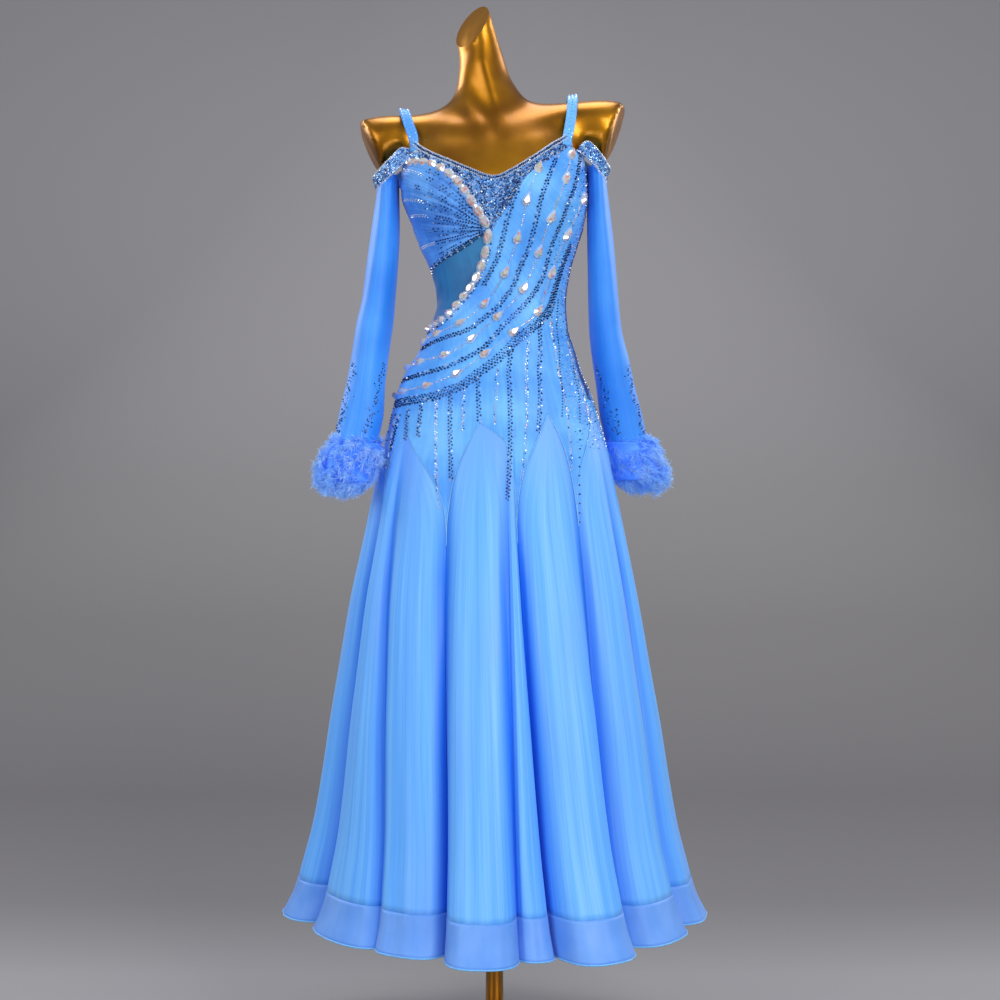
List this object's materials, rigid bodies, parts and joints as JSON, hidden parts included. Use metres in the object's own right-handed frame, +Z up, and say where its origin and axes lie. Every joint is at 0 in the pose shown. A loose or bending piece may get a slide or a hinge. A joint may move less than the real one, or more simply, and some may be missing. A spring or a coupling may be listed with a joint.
{
  "type": "ballroom gown on a dress form",
  "caption": "Off-shoulder blue ballroom gown with a draped stone-trimmed bodice, fluted godet skirt and feather cuffs, worn by a limbless gold dress form on a rod and round base.",
  "frame": {"origin": "middle of the base's underside, on the floor", "axes": "+Z up along the rod; the gown's front faces -Y; +X is the wearer's left"},
  "size_m": [0.6692, 0.6682, 1.6712],
  "materials": {
    "gold_lacquer": "glossy gold lacquer",
    "stretch_satin": "soft satin",
    "inset_satin": "darker teal satin",
    "stoned_band": "covered with dark rhinestones",
    "sleeve_satin": "glossy satin",
    "organza": "shimmering organza",
    "hem_crin": "stiff open-weave crin",
    "marabou": "fluffy feathers"
  },
  "bodies": {
    "root": {"arm_band_left": "stoned_band", "arm_band_right": "stoned_band", "back_left": "stretch_satin", "back_right": "stretch_satin", "bust_cup_pleated": "stretch_satin", "feather_cuff_left": "marabou", "feather_cuff_right": "marabou", "form_torso": "gold_lacquer", "front_hip": "stretch_satin", "front_wrap": "stretch_satin", "godet_back_left_inner": "organza", "godet_back_left_outer": "organza", "godet_back_right_inner": "organza", "godet_back_right_outer": "organza", "godet_front_left": "organza", "godet_front_middle": "organza", "godet_front_right": "organza", "godet_side_left": "organza", "godet_side_right": "organza", "hem_band_back_left_inner": "hem_crin", "hem_band_back_left_outer": "hem_crin", "hem_band_back_right_inner": "hem_crin", "hem_band_back_right_outer": "hem_crin", "hem_band_front_left": "hem_crin", "hem_band_front_middle": "hem_crin", "hem_band_front_right": "hem_crin", "hem_band_side_left": "hem_crin", "hem_band_side_right": "hem_crin", "neckline_yoke": "stoned_band", "sleeve_left": "sleeve_satin", "sleeve_right": "sleeve_satin", "stand_base": "gold_lacquer", "stand_foot_collar": "gold_lacquer", "stand_rod": "gold_lacquer", "stand_top_flange": "gold_lacquer", "strap_left": "stretch_satin", "strap_right": "stretch_satin", "waist_inset": "inset_satin"}
  },
  "joints": []
}
